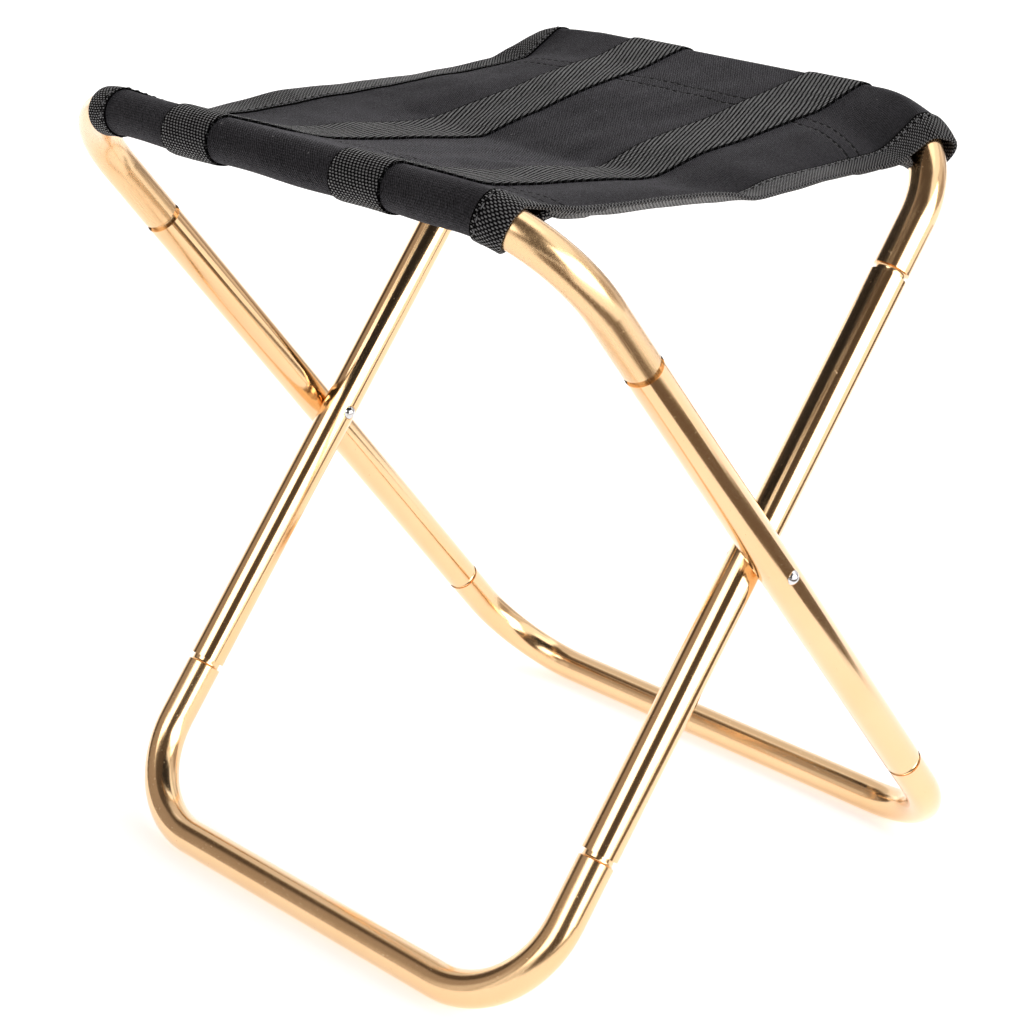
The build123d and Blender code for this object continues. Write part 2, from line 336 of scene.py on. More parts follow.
def wrap(rail, looseness, inboard, share):
    """The sleeve's line round its rail from above to below, as X, Y from the pivot, and Z."""
    x = rail.edges[0] + (rail.edges[1] - rail.edges[0]) * share
    at = np.array([inboard])
    seat_point = np.array([PIVOT_Y + inboard, seat_height(at_share(at, share), at)[0]])
    seam_point = rail.centre(x) + np.array([-rail.outward * seam_distance(rail, x), -0.5])
    radius = rail.sleeve_radius(x)
    above, below = tangent_points(rail, x, radius, looseness, seat_point, seam_point)
    points, shift = rail.outline(x, radius, np.linspace(above, below, WRAP_ROWS), looseness)
    return np.column_stack([x + shift, points[:, 0] - PIVOT_Y, points[:, 1]])


def seat_rows(share, front_top, rear_top):
    """The seat from rail to rail at a share of its width."""
    y = np.linspace(front_top[1], rear_top[1], SEAT_ROWS)
    x = at_share(y, share)
    front_y, rear_y = INBOARD
    z = seat_height(x, np.clip(y, front_y, rear_y))
    front_z, rear_z = np.interp((front_y, rear_y), y, z)
    z = np.where(y < front_y, np.interp(y, (front_top[1], front_y), (front_top[2], front_z)), z)
    z = np.where(y > rear_y, np.interp(y, (rear_y, rear_top[1]), (rear_z, rear_top[2])), z)
    z = spread_out(z, SOFTNESS, y[1] - y[0])
    along = np.linspace(0, 1, SEAT_ROWS)
    z = z + wrinkles(x, y) * smooth(0, 0.12, along) * smooth(1, 0.88, along)
    z[0], z[-1] = front_top[2], rear_top[2]
    front_shift = (front_top[0] - x[0]) * smooth(0.16, 0, along)
    rear_shift = (rear_top[0] - x[-1]) * smooth(0.84, 1, along)
    return np.column_stack([tucked_in(x, y) + front_shift + rear_shift, y, z])


def hem_rows(rail, sleeve, seat):
    """The cloth's end from under the rail to its seams, then flat against the seat."""
    start = sleeve[-1]
    centre_y = rail.centre(start[0])[0] - PIVOT_Y
    seam_y = centre_y - rail.outward * seam_distance(rail, start[0])
    y = np.linspace(start[1], centre_y - rail.outward * HEM, HEM_ROWS + 1)[1:]
    to_seam = np.clip((y - start[1]) / (seam_y - start[1]), 0, 1)
    beneath = np.interp(y, seat[:, 1], seat[:, 2]) - LAYERS_APART
    seam_z = np.interp(seam_y, seat[:, 1], seat[:, 2]) - LAYERS_APART
    straight = start[2] + (seam_z - start[2]) * to_seam
    hanging = np.minimum(straight - HEM_SAG * np.sin(pi * to_seam), beneath)
    z = np.where(to_seam < 1, hanging, beneath)
    x = np.interp(y, seat[:, 1], seat[:, 0])
    x = start[0] + (x - start[0]) * smooth(0, 1, to_seam)
    return np.column_stack([x, y, z])


def cloth_line(share):
    """The cloth at a share of its width, from its front hem over the seat to its rear hem."""
    front = wrap(FRONT, front_looseness, INBOARD[0], share)
    rear = wrap(REAR, rear_looseness, INBOARD[1], share)
    seat = seat_rows(share, front[0], rear[0])
    front_hem = hem_rows(FRONT, front, seat)
    rear_hem = hem_rows(REAR, rear, seat)
    line = np.concatenate([front_hem[::-1], front[::-1], seat[1:-1], rear, rear_hem])
    return line + np.array([0, PIVOT_Y, 0])


class Surface:
    """The middle of the cloth as a grid: rows from front hem to rear hem, columns across X."""

    def __init__(self):
        even = np.linspace(0, 1, COLUMNS)
        self.share = even - 0.11 * np.sin(2 * pi * even)  # closer together towards the edges
        self.points = np.stack([cloth_line(share) for share in self.share], axis=1)
        self.left, self.right = edges_at(self.points[:, COLUMNS // 2, 1] - PIVOT_Y)
        self.measure()

    def measure(self):
        """Find the length along the cloth and its normals."""
        steps = np.linalg.norm(np.diff(self.points[:, COLUMNS // 2], axis=0), axis=1)
        self.length = np.concatenate([[0], np.cumsum(steps)])
        down = np.gradient(self.points, axis=0)
        across = np.gradient(self.points, axis=1)
        normals = np.cross(across, down)
        self.normals = normals / np.linalg.norm(normals, axis=2, keepdims=True)

    def columns_at(self, share):
        """Place and outward normal along the cloth at shares of its width, one per row."""
        at = np.interp(share, self.share, np.arange(COLUMNS))
        low = np.clip(at.astype(int), 0, COLUMNS - 2)
        part = (at - low)[:, None]
        rows = np.arange(len(share))
        place = self.points[rows, low] * (1 - part) + self.points[rows, low + 1] * part
        normal = self.normals[rows, low] * (1 - part) + self.normals[rows, low + 1] * part
        normal = normal / np.linalg.norm(normal, axis=1, keepdims=True)
        return place, normal

    def line(self, x=None, from_edge=None):
        """A line from hem to hem: at an X (one or one per row), or at a distance in from an edge.

        from_edge is (side, distance) with side -1 for the left edge and 1 for the right.
        """
        if from_edge is not None:
            side, distance = from_edge
            x = self.left + distance if side < 0 else self.right - distance
        share = (np.broadcast_to(x, (ROWS,)) - self.left) / (self.right - self.left)
        return self.columns_at(np.clip(share, 0, 1))


SEAT = Surface()


# ------------------------------- cloth and webbing -------------------------

def cloth_sheet():
    """The seat cloth itself, hemmed round both rails, in one piece."""
    flat_x = np.linspace(0, 1, COLUMNS) * (RIGHT_EDGE[1] - LEFT_EDGE[1])
    uvs = np.zeros((ROWS, COLUMNS, 2))
    uvs[:, :, 0] = flat_x[None, :]
    uvs[:, :, 1] = SEAT.length[:, None]
    points = SEAT.points.reshape(-1, 3)
    obj = mesh_object("seat_cloth", points, quads(ROWS, COLUMNS), uvs.reshape(-1, 2))
    thicken = obj.modifiers.new("thickness", "SOLIDIFY")
    thicken.thickness = CLOTH * MM
    thicken.offset = 0
    thicken.use_even_offset = True
    return obj


def strap_edges(name):
    """The X of a strap's two edges at every row, spreading between the rails and the seat."""
    y = SEAT.points[:, COLUMNS // 2, 1]
    at = (FRONT_TOP[0] - 4, FRONT_TOP[0] + 30, PIVOT_Y + 40, REAR_TOP[0])
    front, seat, rear = STRAPS[name]
    low = np.interp(y, at, (front[0], seat[0], seat[0], rear[0]))
    high = np.interp(y, at, (front[1], seat[1], seat[1], rear[1]))
    return low, high


def ribbon(name, sections, uv_across):
    """A closed strip from its loops of points, one loop per row, with flat ends."""
    rows, around = len(sections), len(sections[0])
    points = np.asarray(sections).reshape(-1, 3)
    uvs = np.zeros((rows, around, 2))
    uvs[:, :, 0] = uv_across
    steps = np.linalg.norm(np.diff(np.mean(sections, axis=1), axis=0), axis=1)
    uvs[:, :, 1] = np.concatenate([[0], np.cumsum(steps)])[:, None]
    faces = quads(rows, around, closed=True)
    faces.append(tuple(range(around))[::-1])
    faces.append(tuple((rows - 1) * around + k for k in range(around)))
    return mesh_object(name, points, faces, uvs.reshape(-1, 2))


def strap(name):
    """One webbing strap sewn over the cloth, from under the front hem to under the rear hem."""
    low, high = strap_edges(name)
    across = np.linspace(0, 1, 15)
    base = CLOTH / 2 + STRAP_LIFT
    top = base + WEBBING
    edge = 0.02  # the share of the width over which the top rounds off
    profile = [(share, base) for share in across]
    profile += [(1.0, base + WEBBING * 0.5)]
    profile += [(share, top - WEBBING * 0.18 * (1 - min(1.0, share / edge, (1 - share) / edge)))
                for share in across[::-1]]
    profile += [(0.0, base + WEBBING * 0.5)]
    rows = slice(STRAP_START, ROWS - STRAP_START)
    loops, ids = [], []
    for share, height in profile:
        place, normal = SEAT.line(x=low + (high - low) * share)
        loops.append((place + normal * height)[rows])
        ids.append(share * STRAP_WIDTH)
    return ribbon(name + "_webbing", np.stack(loops, axis=1), np.array(ids))


def hem_overlap():
    """For every row, 1 where the hem is sewn under the seat and 0 elsewhere."""
    y = SEAT.points[:, COLUMNS // 2, 1]
    row = np.arange(ROWS)
    overlap = np.zeros(ROWS)
    for rail in (FRONT, REAR):
        inboard = -rail.outward * (y - rail.centre(0)[0])
        begun = smooth(SEAM_ROWS[0] - 8, SEAM_ROWS[0] - 3, inboard)
        overlap += begun * smooth(HEM + 3, HEM, inboard)
    return overlap * ((row >= FIRST_SEAT_ROW) & (row <= LAST_SEAT_ROW))


def binding(name, side):
    """Webbing folded over one side edge of the cloth, over the sleeve ends too."""
    inner = CLOTH / 2 + BINDING_LIFT
    outer = inner + BINDING
    extra = hem_overlap()[:, None] * LAYERS_APART
    edge, normal = SEAT.line(from_edge=(side, 0.0))
    inside, _ = SEAT.line(from_edge=(side, 1.5))
    outward = edge - inside
    outward = outward - normal * np.sum(outward * normal, axis=1, keepdims=True)
    outward = outward / np.linalg.norm(outward, axis=1, keepdims=True)
    wide = np.linspace(BINDING_WIDTH, 0, 9)
    turns = np.linspace(pi / 2, -pi / 2, 7)[1:-1]
    loops, ids = [], []

    def flat(distances, height, across):
        """Lines along one face of the cloth, at distances in from its edge."""
        for distance, where in zip(distances, across):
            place, up = SEAT.line(from_edge=(side, distance))
            loops.append(place + up * (height if height > 0 else height - extra))
            ids.append(where)

    def fold(angles, radius, across):
        """Lines round the edge itself."""
        middle = edge - normal * extra / 2
        for angle, where in zip(angles, across):
            swing = (radius + extra / 2) * sin(angle)
            loops.append(middle + swing * normal + radius * cos(angle) * outward)
            ids.append(where)

    flat(wide, outer, BINDING_WIDTH - wide)
    fold(turns, outer, BINDING_WIDTH + np.linspace(0.3, 1.7, len(turns)))
    flat(wide[::-1], -outer, BINDING_WIDTH + 2 + wide[::-1])
    flat(wide, -inner, BINDING_WIDTH + 2 + wide)
    fold(turns[::-1], inner, BINDING_WIDTH + np.linspace(1.7, 0.3, len(turns)))
    flat(wide[::-1], inner, BINDING_WIDTH - wide[::-1])
    rows = slice(BINDING_START, ROWS - BINDING_START)
    return ribbon(name + "_webbing", np.stack(loops, axis=1)[rows], np.array(ids))


# ------------------------------- stitching ---------------------------------

STITCH_RINGS = 5
STITCH_AROUND = 6


def stitch_points(start, end, up, lift_by, radius):
    """One thread loop from start to end that rises out of the cloth and dips back in."""
    along = end - start
    length = np.linalg.norm(along)
    along = along / length
    side = np.cross(up, along)
    points = []
    for ring in range(STITCH_RINGS):
        share = ring / (STITCH_RINGS - 1)
        height = lift_by * sin(pi * share) - radius * 0.6 * (1 - sin(pi * share))
        girth = radius * (0.55 + 0.45 * sin(pi * share))
        middle = start + along * length * share + up * height
        for k in range(STITCH_AROUND):
            angle = 2 * pi * k / STITCH_AROUND
            points.append(middle + girth * (cos(angle) * side + sin(angle) * up))
    return points


class Stitching:
    """Gathers stitches into one mesh."""

    def __init__(self):
        self.points = []
        self.faces = []

    def row(self, place, normal, height, length, gap, radius, lift_by=0.12):
        """A row of stitches along a line of points with its normals."""
        steps = np.linalg.norm(np.diff(place, axis=0), axis=1)
        run = np.concatenate([[0], np.cumsum(steps)])
        count = int(run[-1] // (length + gap))
        for k in range(count):
            at = np.array([k * (length + gap), k * (length + gap) + length])
            spots = [np.array([np.interp(a, run, place[:, i]) for i in range(3)]) for a in at]
            up = np.array([np.interp(at.mean(), run, normal[:, i]) for i in range(3)])
            up = up / np.linalg.norm(up)
            self.add(spots[0] + up * height, spots[1] + up * height, up, lift_by, radius)

    def add(self, start, end, up, lift_by, radius):
        """One stitch, closed at both ends."""
        first = len(self.points)
        self.points += stitch_points(start, end, up, lift_by, radius)
        for face in quads(STITCH_RINGS, STITCH_AROUND, closed=True):
            self.faces.append(tuple(first + corner for corner in face))
        last = first + (STITCH_RINGS - 1) * STITCH_AROUND
        self.faces.append(tuple(first + k for k in range(STITCH_AROUND))[::-1])
        self.faces.append(tuple(last + k for k in range(STITCH_AROUND)))

    def build(self, name):
        """All the stitches as one object."""
        return mesh_object(name, self.points, self.faces)


def seam_row_numbers():
    """The grid rows of the seat that the sleeves' seams run along."""
    y = SEAT.points[FIRST_SEAT_ROW:LAST_SEAT_ROW + 1, COLUMNS // 2, 1]
    targets = [rail.centre(0)[0] - rail.outward * distance
               for rail in (FRONT, REAR) for distance in SEAM_ROWS]
    return [FIRST_SEAT_ROW + int(np.argmin(np.abs(y - target))) for target in targets]


def seam_rows(stitching):
    """The double rows that close each sleeve, left out where a strap covers them."""
    covered = [strap_edges(name) for name in STRAPS]
    for row in seam_row_numbers():
        x = SEAT.points[row, :, 0]
        shown = (x > SEAT.left[row] + BINDING_WIDTH) & (x < SEAT.right[row] - BINDING_WIDTH)
        for low, high in covered:
            shown &= (x < low[row] - 0.5) | (x > high[row] + 0.5)
        runs = np.split(np.arange(COLUMNS), np.where(np.diff(shown.astype(int)) != 0)[0] + 1)
        for run in runs:
            if shown[run[0]] and len(run) > 2:
                stitching.row(SEAT.points[row, run], SEAT.normals[row, run], CLOTH / 2 - 0.1,
                              length=2.4, gap=0.8, radius=0.18, lift_by=0.08)


def binding_rows(stitching):
    """The row that holds each binding, just inside its inner edge."""
    for side in (-1, 1):
        place, normal = SEAT.line(from_edge=(side, BINDING_WIDTH - BINDING_STITCH))
        rows = slice(BINDING_STITCH_START, ROWS - BINDING_STITCH_START)
        height = CLOTH / 2 + BINDING_LIFT + BINDING
        stitching.row(place[rows], normal[rows], height, length=2.4, gap=1.2, radius=0.3)


# ------------------------------- materials ---------------------------------

class Nodes:
    """Short calls for building a node tree."""

    def __init__(self, tree):
        self.tree = tree

    def add(self, kind, **settings):
        """A new node with its settings."""
        node = self.tree.nodes.new(kind)
        for key, value in settings.items():
            setattr(node, key, value)
        return node

    def link(self, source, target):
        self.tree.links.new(source, target)

    def math(self, operation, first, second=None, third=None):
        """A sum worked out by a node, each term a socket or a number."""
        node = self.add("ShaderNodeMath", operation=operation)
        for socket, value in zip(node.inputs, (first, second, third)):
            if value is None:
                continue
            if isinstance(value, (int, float)):
                socket.default_value = value
            else:
                self.link(value, socket)
        return node.outputs[0]

    def noise(self, vector, scale, detail=2.0, roughness=0.5):
        node = self.add("ShaderNodeTexNoise")
        node.inputs["Scale"].default_value = scale
        node.inputs["Detail"].default_value = detail
        node.inputs["Roughness"].default_value = roughness
        self.link(vector, node.inputs["Vector"])
        return node.outputs["Fac"]

    def mix(self, share, first, second):
        """The first colour with a share of the second, which is a plain one."""
        node = self.add("ShaderNodeMix", data_type="RGBA")
        self.link(share, node.inputs["Factor"])
        self.link(first, node.inputs["A"])
        node.inputs["B"].default_value = (*second, 1.0)
        return node.outputs["Result"]

    def ramp(self, value, stops):
        """A colour for a value, from its stops of (place, colour)."""
        node = self.add("ShaderNodeValToRGB")
        elements = node.color_ramp.elements
        while len(elements) < len(stops):
            elements.new(0.5)
        for element, (place, colour) in zip(elements, stops):
            element.position = place
            element.color = (*colour, 1.0)
        self.link(value, node.inputs["Fac"])
        return node.outputs["Color"]

    def range(self, value, low, high, to_low, to_high, interpolation="LINEAR"):
        """A value's place between low and high, carried over to between to_low and to_high."""
        node = self.add("ShaderNodeMapRange", interpolation_type=interpolation)
        ends = {"From Min": low, "From Max": high, "To Min": to_low, "To Max": to_high}
        for name, number in ends.items():
            node.inputs[name].default_value = number
        self.link(value, node.inputs["Value"])
        return node.outputs["Result"]

    def bump(self, height, strength, distance):
        node = self.add("ShaderNodeBump")
        node.inputs["Strength"].default_value = strength
        node.inputs["Distance"].default_value = distance
        self.link(height, node.inputs["Height"])
        return node.outputs["Normal"]


class Material(Nodes):
    """A material built from its principled shader."""

    def __init__(self, name):
        self.material = bpy.data.materials.new(name)
        self.material.use_nodes = True
        super().__init__(self.material.node_tree)
        self.shader = self.tree.nodes["Principled BSDF"]

    def set(self, **values):
        """Uniform values for the shader's inputs, an underscore standing for each space."""
        for name, value in values.items():
            self.shader.inputs[name.replace("_", " ")].default_value = value


def anodised_gold(name, lean, roughness, coat_roughness):
    """Champagne-gold anodised tube with faint draw lines along the legs and small specks."""
    n = Material(name)
    place = n.add("ShaderNodeTexCoord").outputs["Object"]
    turned = n.add("ShaderNodeMapping")
    turned.inputs["Rotation"].default_value = (radians(lean), 0, 0)
    n.link(place, turned.inputs["Vector"])
    drawn = n.add("ShaderNodeMapping")
    drawn.inputs["Scale"].default_value = (1.0, 1.0, 0.02)
    n.link(turned.outputs["Vector"], drawn.inputs["Vector"])
    lines = n.noise(drawn.outputs["Vector"], 1400.0, detail=3.0)
    cloud = n.noise(place, 30.0, detail=3.0)
    grain = n.noise(place, 2600.0, detail=1.0)
    specks = n.noise(place, 700.0, detail=2.0, roughness=0.7)
    tint = n.ramp(cloud, [(0.3, (0.86, 0.560, 0.285)), (0.7, (0.89, 0.600, 0.325))])
    n.link(tint, n.shader.inputs["Base Color"])
    worn = n.range(specks, 0.70, 0.76, 0.0, 0.25)
    rough = n.math("ADD", n.range(lines, 0.3, 0.7, roughness - 0.03, roughness + 0.04), worn)
    n.link(rough, n.shader.inputs["Roughness"])
    pits = n.range(specks, 0.70, 0.78, 0.0, -1.0)
    skin = n.math("ADD", n.math("MULTIPLY", grain, 0.35), pits)
    n.link(n.bump(skin, 0.25, 0.00004), n.shader.inputs["Normal"])
    n.set(Metallic=1.0, Coat_Weight=0.8, Coat_Roughness=coat_roughness)
    return n.material


def rivet_steel():
    """Bright steel with faint turning marks."""
    n = Material("rivet_steel")
    place = n.add("ShaderNodeTexCoord").outputs["Object"]
    marks = n.noise(place, 1800.0, detail=2.0)
    colour = n.ramp(n.noise(place, 300.0), [(0.3, (0.62, 0.62, 0.63)), (0.7, (0.78, 0.78, 0.80))])
    n.link(colour, n.shader.inputs["Base Color"])
    n.link(n.range(marks, 0.3, 0.7, 0.10, 0.24), n.shader.inputs["Roughness"])
    n.link(n.bump(marks, 0.15, 0.00004), n.shader.inputs["Normal"])
    n.set(Metallic=1.0)
    return n.material


def weave_coordinates(n):
    """The cloth's own two directions, in millimetres."""
    node = n.add("ShaderNodeUVMap", uv_map="weave")
    split = n.add("ShaderNodeSeparateXYZ")
    n.link(node.outputs["UV"], split.inputs["Vector"])
    return split.outputs["X"], split.outputs["Y"]


def painted_seam_shade(n, across, along):
    """1 on the sleeves' double seams and 0 elsewhere: dashes of painted shade in their stitched
    grooves.
    """
    total = 0.0
    for row in seam_row_numbers():
        away = n.math("ABSOLUTE", n.math("SUBTRACT", along, float(SEAT.length[row])))
        total = n.math("ADD", n.range(away, 0.25, 0.8, 1.0, 0.0), total)
    dash = n.math("ABSOLUTE", n.math("SINE", n.math("MULTIPLY", across, pi / 3.2)))
    return n.math("MULTIPLY", total, n.range(dash, 0.15, 0.45, 0.25, 1.0))


def seat_cloth_material():
    """Charcoal-black twill with a soft sheen, faint mottling and a few specks of lint."""
    n = Material("seat_cloth")
    across, along = weave_coordinates(n)
    place = n.add("ShaderNodeTexCoord").outputs["Object"]
    slub = n.noise(place, 800.0, detail=2.0, roughness=0.7)
    diagonal = n.math("ADD", across, n.math("MULTIPLY", along, 0.45))
    diagonal = n.math("ADD", diagonal, n.range(slub, 0.2, 0.8, -0.3, 0.3))
    rib = n.math("SINE", n.math("MULTIPLY", diagonal, 2 * pi / 0.62))
    thread = n.math("SINE", n.math("MULTIPLY", along, 2 * pi / 0.8))
    twill = n.math("ADD", n.math("MULTIPLY", rib, n.range(slub, 0.3, 0.7, 0.5, 1.3)),
                   n.math("MULTIPLY", thread, 0.4))
    mottle = n.noise(place, 90.0, detail=4.0, roughness=0.6)
    fuzz = n.noise(place, 1500.0, detail=2.0, roughness=0.75)
    lint = n.noise(place, 520.0, detail=1.0)
    light = n.math("ADD", n.range(fuzz, 0.3, 0.7, 0.0, 0.45), n.range(mottle, 0.3, 0.7, 0.0, 0.15))
    light = n.math("ADD", light, n.range(twill, -1.2, 1.2, 0.0, 0.65))
    base = n.ramp(light, [(0.26, (0.0012, 0.0012, 0.0016)), (0.92, (0.018, 0.0171, 0.0193))])
    speckled = n.mix(n.range(lint, 0.79, 0.83, 0.0, 0.7), base, (0.24, 0.23, 0.23))
    # Painted shade in the seams' stitched grooves: the mask darkens the colour there, sinks the bump
    # and takes out the sheen.
    seams = painted_seam_shade(n, across, along)
    n.link(n.mix(n.math("MULTIPLY", seams, 0.85), speckled, (0.002, 0.002, 0.002)),
           n.shader.inputs["Base Color"])
    surface = n.math("ADD", n.math("MULTIPLY", twill, 0.5), n.math("MULTIPLY", fuzz, 1.2))
    surface = n.math("SUBTRACT", surface, n.math("MULTIPLY", seams, 3.0))
    n.link(n.bump(surface, 0.8, 0.00020), n.shader.inputs["Normal"])
    n.link(n.range(mottle, 0.3, 0.7, 0.78, 0.9), n.shader.inputs["Roughness"])
    sheen = n.math("MULTIPLY", n.range(light, 0.25, 0.9, 0.02, 0.28), n.math("SUBTRACT", 1.0, seams))
    n.link(sheen, n.shader.inputs["Sheen Weight"])
    n.set(Sheen_Roughness=0.4, Specular_IOR_Level=0.10)
    n.shader.inputs["Sheen Tint"].default_value = (0.75, 0.73, 0.8, 1)
    return n.material


def webbing_material(name, float_length, row_pitch, step, lines, even=None):
    """Black woven webbing: rows of short floats, each row stepped sideways, the float tops painted
    light as a highlight and the gaps between them painted dark as shade.

    lines are where thin lines of painted shadow run along it, in millimetres across, and between the
    two lengths of even its floats lie flatter, so their painted light is more even there.
    """
    n = Material(name)
    across, along = weave_coordinates(n)
    place = n.add("ShaderNodeTexCoord").outputs["Object"]
    uneven = n.noise(place, 400.0, detail=1.0)
    row = n.math("DIVIDE", along, row_pitch)
    stagger = n.math("MULTIPLY", n.math("FLOOR", row), step)
    column = n.math("ADD", n.math("DIVIDE", across, float_length), stagger)
    column = n.math("ADD", column, n.range(uneven, 0.3, 0.7, -0.06, 0.06))
    over_row = n.math("ABSOLUTE", n.math("SINE", n.math("MULTIPLY", row, pi)))
    over_float = n.math("ABSOLUTE", n.math("SINE", n.math("MULTIPLY", column, pi)))
    height = n.math("MULTIPLY", n.math("POWER", over_row, 0.8), n.math("POWER", over_float, 0.8))
    fuzz = n.noise(place, 1800.0, detail=2.0, roughness=0.7)
    # Thin lines of painted shadow: along the webbing's edges and along its row of stitches.
    dark = 0.0
    for line in lines:
        away = n.math("ABSOLUTE", n.math("SUBTRACT", across, line))
        dark = n.math("ADD", n.range(away, 0.1, 0.4, 0.65, 0.0), dark)
    if even is not None:
        start, end = even
        flat = n.math("MULTIPLY", n.range(along, start, start + 15, 0.0, 0.45),
                      n.range(along, end - 15, end, 1.0, 0.0))
        height = n.math("ADD", height, n.math("MULTIPLY", flat, n.math("SUBTRACT", 0.75, height)))
    height = n.math("MULTIPLY", height, n.math("SUBTRACT", 1.0, dark))
    # Painted light: the float tops are painted light as a highlight and the gaps between them dark as
    # shade; the fuzz adds random variation of the fibres.
    fuzz_and_painted_light = n.math("ADD", n.math("MULTIPLY", height, 0.8), n.range(fuzz, 0.3, 0.7, -0.08, 0.2))
    base = n.ramp(fuzz_and_painted_light, [(0.30, (0.0015, 0.0015, 0.0016)), (0.55, (0.020, 0.0195, 0.0205)),
                         (0.92, (0.125, 0.122, 0.124))])
    n.link(base, n.shader.inputs["Base Color"])
    worn = n.noise(place, 160.0, detail=2.0)
    rough = n.math("ADD", n.range(worn, 0.3, 0.7, 0.45, 0.58),
                   n.range(height, 0.0, 1.0, 0.2, -0.05))
    n.link(rough, n.shader.inputs["Roughness"])
    surface = n.math("ADD", height, n.math("MULTIPLY", fuzz, 0.3))
    n.link(n.bump(surface, 0.9, 0.00045), n.shader.inputs["Normal"])
    # The gaps also lose their specular and sheen, which deepens the painted shade there.
    n.link(n.range(height, 0.35, 0.9, 0.0, 0.5), n.shader.inputs["Specular IOR Level"])
    n.link(n.range(height, 0.45, 0.95, 0.0, 0.5), n.shader.inputs["Sheen Weight"])
    n.set(Sheen_Roughness=0.4)
    return n.material


def thread_material():
    """Twisted black sewing thread, a little brighter than the cloth."""
    n = Material("sewing_thread")
    place = n.add("ShaderNodeTexCoord").outputs["Object"]
    twist = n.noise(place, 3200.0, detail=1.0)
    base = n.ramp(twist, [(0.3, (0.018, 0.018, 0.019)), (0.75, (0.095, 0.093, 0.098))])
    n.link(base, n.shader.inputs["Base Color"])
    n.link(n.range(twist, 0.3, 0.7, 0.42, 0.6), n.shader.inputs["Roughness"])
    n.link(n.bump(twist, 0.5, 0.00008), n.shader.inputs["Normal"])
    n.set(Sheen_Weight=0.1)
    return n.material


def finish_with(obj, material):
    """Give a piece one material all over."""
    obj.data.materials.clear()
    obj.data.materials.append(material)


# ------------------------------- the seat ----------------------------------


def across_the_fold(obj):
    """Bake a soft piece's placement into its mesh."""
    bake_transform(obj)


def stand_for_webbing(piece):
    """Hide the CAD run of a strap or binding and its two loops round the rails, which the strip of
    webbing replaces.
    """
    node = piece.name.removesuffix("_webbing")
    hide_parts(node, node + "_front_loop", node + "_rear_loop")


def build_seat():
    """The sewn seat: its pieces and their materials, with the CAD pieces that they replace hidden."""
    cloth = cloth_sheet()
    finish_with(cloth, seat_cloth_material())
    # The strap's lines paint a thin shadow along both its edges; the tape's lines paint one along its
    # inner edge and one along its stitching.
    webbing = webbing_material("strap_webbing", float_length=1.65, row_pitch=0.9, step=0.25,
                               lines=(0.2, STRAP_WIDTH - 0.2))
    slack = (float(SEAT.length[FIRST_SEAT_ROW]) + 5, float(SEAT.length[LAST_SEAT_ROW]) - 55)
    tape = webbing_material("edge_webbing", float_length=1.3, row_pitch=0.75, step=0.5,
                            lines=(0.1, BINDING_STITCH), even=slack)
    straps = [strap(name) for name in STRAPS]
    bindings = [binding("left_binding", -1), binding("right_binding", 1)]
    sewing = Stitching()
    seam_rows(sewing)
    binding_rows(sewing)
    stitches = sewing.build("seat_stitching")
    for piece in straps:
        finish_with(piece, webbing)
    for piece in bindings:
        finish_with(piece, tape)
    finish_with(stitches, thread_material())
    for piece in (cloth, *straps, *bindings, stitches):
        across_the_fold(piece)

    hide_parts("seat_panel", "front_sleeve", "rear_sleeve")
    for piece in straps:
        stand_for_webbing(piece)
    for piece in bindings:
        stand_for_webbing(piece)


def finish_metal():
    """Each frame's bends are duller than its legs, and the front rail is the dullest."""
    for side, lean in (("outer", FRONT_LEAN), ("inner", REAR_LEAN)):
        bend = anodised_gold(f"gold_tube_{side}_bend", lean, 0.18, 0.08)
        leg = anodised_gold(f"gold_tube_{side}_leg", lean, 0.13, 0.06)
        for name, node in frame["nodes"].items():
            if name.startswith(side):
                finish_with(node, bend if "bend" in name else leg)
    satin = anodised_gold("gold_tube_satin", FRONT_LEAN, 0.25, 0.16)
    finish_with(frame["nodes"]["outer_top_bend"], satin)
    steel = rivet_steel()
    for name, node in frame["nodes"].items():
        if "rivet" in name:
            finish_with(node, steel)


build_seat()
finish_metal()


# ------------------------------- the studio --------------------------------

# Bright and dark parts of the studio round the stool: azimuth and elevation of the
# middle, half their sizes, and how bright they are.  Azimuth 0 is the front, 90 the right.
SOFT_BOXES = (
    (97, 14, 27, 22, 5.0),
    (8, 32, 16, 13, 3.0),
    (-8, 40.5, 16, 4.5, 3.5),
    (0, 6, 16, 12, 0.8),
    (-42, 25, 20, 28, 0.3),
    (-25, 12, 14, 12, 0.4),
    (-92, 5, 12, 11, 0.9),
    (-92, 56, 12, 5, 0.5),
    (-130, 28, 36, 44, 0.7),
    (-150, 5, 50, 20, 0.4),
    (150, 8, 25, 12, 0.33),
    (160, 30, 30, 10, 0.7),
    (144, 50, 60, 11, 1.2),
    (150, 74, 50, 13, 1.8),
)
ROOM = 0.09
WARM_DARK = (1.0, 0.77, 0.62)  # the room's dark parts are a little warm


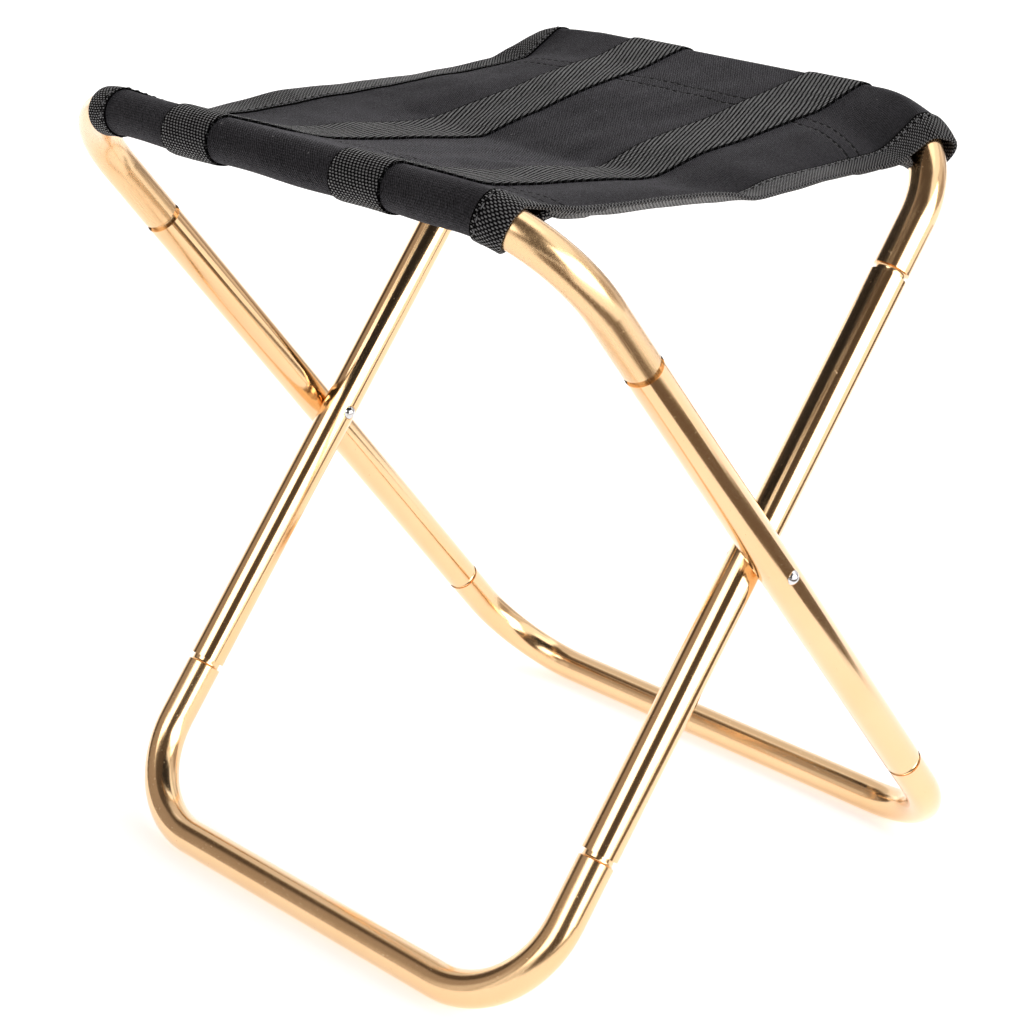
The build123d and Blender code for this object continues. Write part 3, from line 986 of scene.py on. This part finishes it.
def studio_world():
    """A dim room with soft boxes; the camera itself sees plain white behind the stool."""
    world = bpy.data.worlds.new("studio")
    bpy.context.scene.world = world
    world.use_nodes = True
    n = Nodes(world.node_tree)
    n.tree.nodes.clear()

    def inside(away, half, blur):
        """1 nearer the middle than half, easing to 0 over the blur on both sides."""
        return n.range(n.math("ABSOLUTE", away), half + blur, half - blur, 0.0, 1.0, "SMOOTHSTEP")

    split = n.add("ShaderNodeSeparateXYZ")
    n.link(n.add("ShaderNodeTexCoord").outputs["Generated"], split.inputs["Vector"])
    x, y, z = (split.outputs[k] for k in "XYZ")
    azimuth = n.math("DEGREES", n.math("ARCTAN2", x, n.math("MULTIPLY", y, -1.0)))
    elevation = n.math("DEGREES", n.math("ARCSINE", z))
    total = ROOM
    for middle, height, half_wide, half_high, bright in SOFT_BOXES:
        sideways = n.math("WRAP", n.math("SUBTRACT", azimuth, middle), 180.0, -180.0)
        upwards = n.math("SUBTRACT", elevation, height)
        shape = n.math("MULTIPLY", inside(sideways, half_wide, 4.0), inside(upwards, half_high, 2.5))
        total = n.math("ADD", total, n.math("MULTIPLY", shape, bright))
    warmth = n.add("ShaderNodeMix", data_type="RGBA")
    warmth.inputs["A"].default_value = (*WARM_DARK, 1)
    warmth.inputs["B"].default_value = (1, 1, 1, 1)
    n.link(total, warmth.inputs["Factor"])
    lit = n.add("ShaderNodeBackground")
    n.link(total, lit.inputs["Strength"])
    n.link(warmth.outputs["Result"], lit.inputs["Color"])
    plain = n.add("ShaderNodeBackground")
    plain.inputs["Color"].default_value = (1, 1, 1, 1)
    plain.inputs["Strength"].default_value = 1.0
    choose = n.add("ShaderNodeMixShader")
    n.link(n.add("ShaderNodeLightPath").outputs["Is Camera Ray"], choose.inputs[0])
    n.link(lit.outputs[0], choose.inputs[1])
    n.link(plain.outputs[0], choose.inputs[2])
    out = n.add("ShaderNodeOutputWorld")
    n.link(choose.outputs[0], out.inputs["Surface"])


def studio_sheet(name, corners, faces, material):
    """A flat piece of the studio, in metres."""
    mesh = bpy.data.meshes.new(name)
    mesh.from_pydata(corners, [], faces)
    obj = bpy.data.objects.new(name, mesh)
    bpy.context.scene.collection.objects.link(obj)
    finish_with(obj, material)
    return obj


def glow(n, colour, strength):
    """Light given off evenly by a material."""
    n.shader.inputs["Emission Color"].default_value = (*colour, 1)
    n.shader.inputs["Emission Strength"].default_value = strength


def plain_floor():
    """A pale floor that goes on past the view."""
    size = 6.0
    n = Material("floor_paper")
    n.set(Base_Color=(0.9, 0.9, 0.9, 1), Roughness=0.9, Specular_IOR_Level=0.1)
    glow(n, (1, 1, 1), 0.45)
    corners = [(-size, -size, 0), (size, -size, 0), (size, size, 0), (-size, size, 0)]
    floor = studio_sheet("floor", corners, [(0, 1, 2, 3)], n.material)
    floor.location.z = -0.0002


def dark_gaps():
    """The dark floor past the paper's right and near edges, seen only in the metal's reflections."""
    n = Material("dark_gaps")
    n.set(Base_Color=(0, 0, 0, 1), Roughness=1.0, Specular_IOR_Level=0.0)
    glow(n, WARM_DARK, 0.17)
    beside = [(0.25, -0.55), (0.50, -0.42), (0.50, 0.80), (0.25, 0.80)]
    towards_camera = [(0.25, -0.55), (1.00, -2.20), (2.20, -1.30), (0.50, -0.42)]
    corners = [(x, y, 0.0005) for x, y in beside + towards_camera]
    gaps = studio_sheet("dark_gaps", corners, [(0, 1, 2, 3), (4, 5, 6, 7)], n.material)
    gaps.visible_camera = False
    gaps.visible_diffuse = False
    gaps.visible_shadow = False
    gaps.visible_transmission = False


def camera():
    """The camera at the photograph's viewing angle."""
    azimuth, elevation, roll = radians(44.162), radians(20.420), radians(2.437)
    distance, leftwards, downwards = 853.53, 5.283, 11.763  # from the fold's pivot
    back = Vector((sin(azimuth) * cos(elevation), -cos(azimuth) * cos(elevation), sin(elevation)))
    right = (-back).cross(Vector((0, 0, 1))).normalized()
    up = right.cross(-back)
    right, up = (cos(roll) * right + sin(roll) * up, -sin(roll) * right + cos(roll) * up)
    pivot = Vector((0, PIVOT_Y, PIVOT_Z))
    place = (pivot + back * distance - right * leftwards - up * downwards) * MM
    data = bpy.data.cameras.new("camera")
    data.sensor_width = 36.0
    data.lens = 85.17
    data.clip_start, data.clip_end = 0.05, 50
    obj = bpy.data.objects.new("camera", data)
    axes = Matrix((right, up, back)).transposed()
    obj.matrix_world = Matrix.Translation(place) @ axes.to_4x4()
    bpy.context.scene.collection.objects.link(obj)
    bpy.context.scene.camera = obj


studio_world()
plain_floor()
dark_gaps()
camera()
bpy.context.scene.view_settings.view_transform = "Standard"
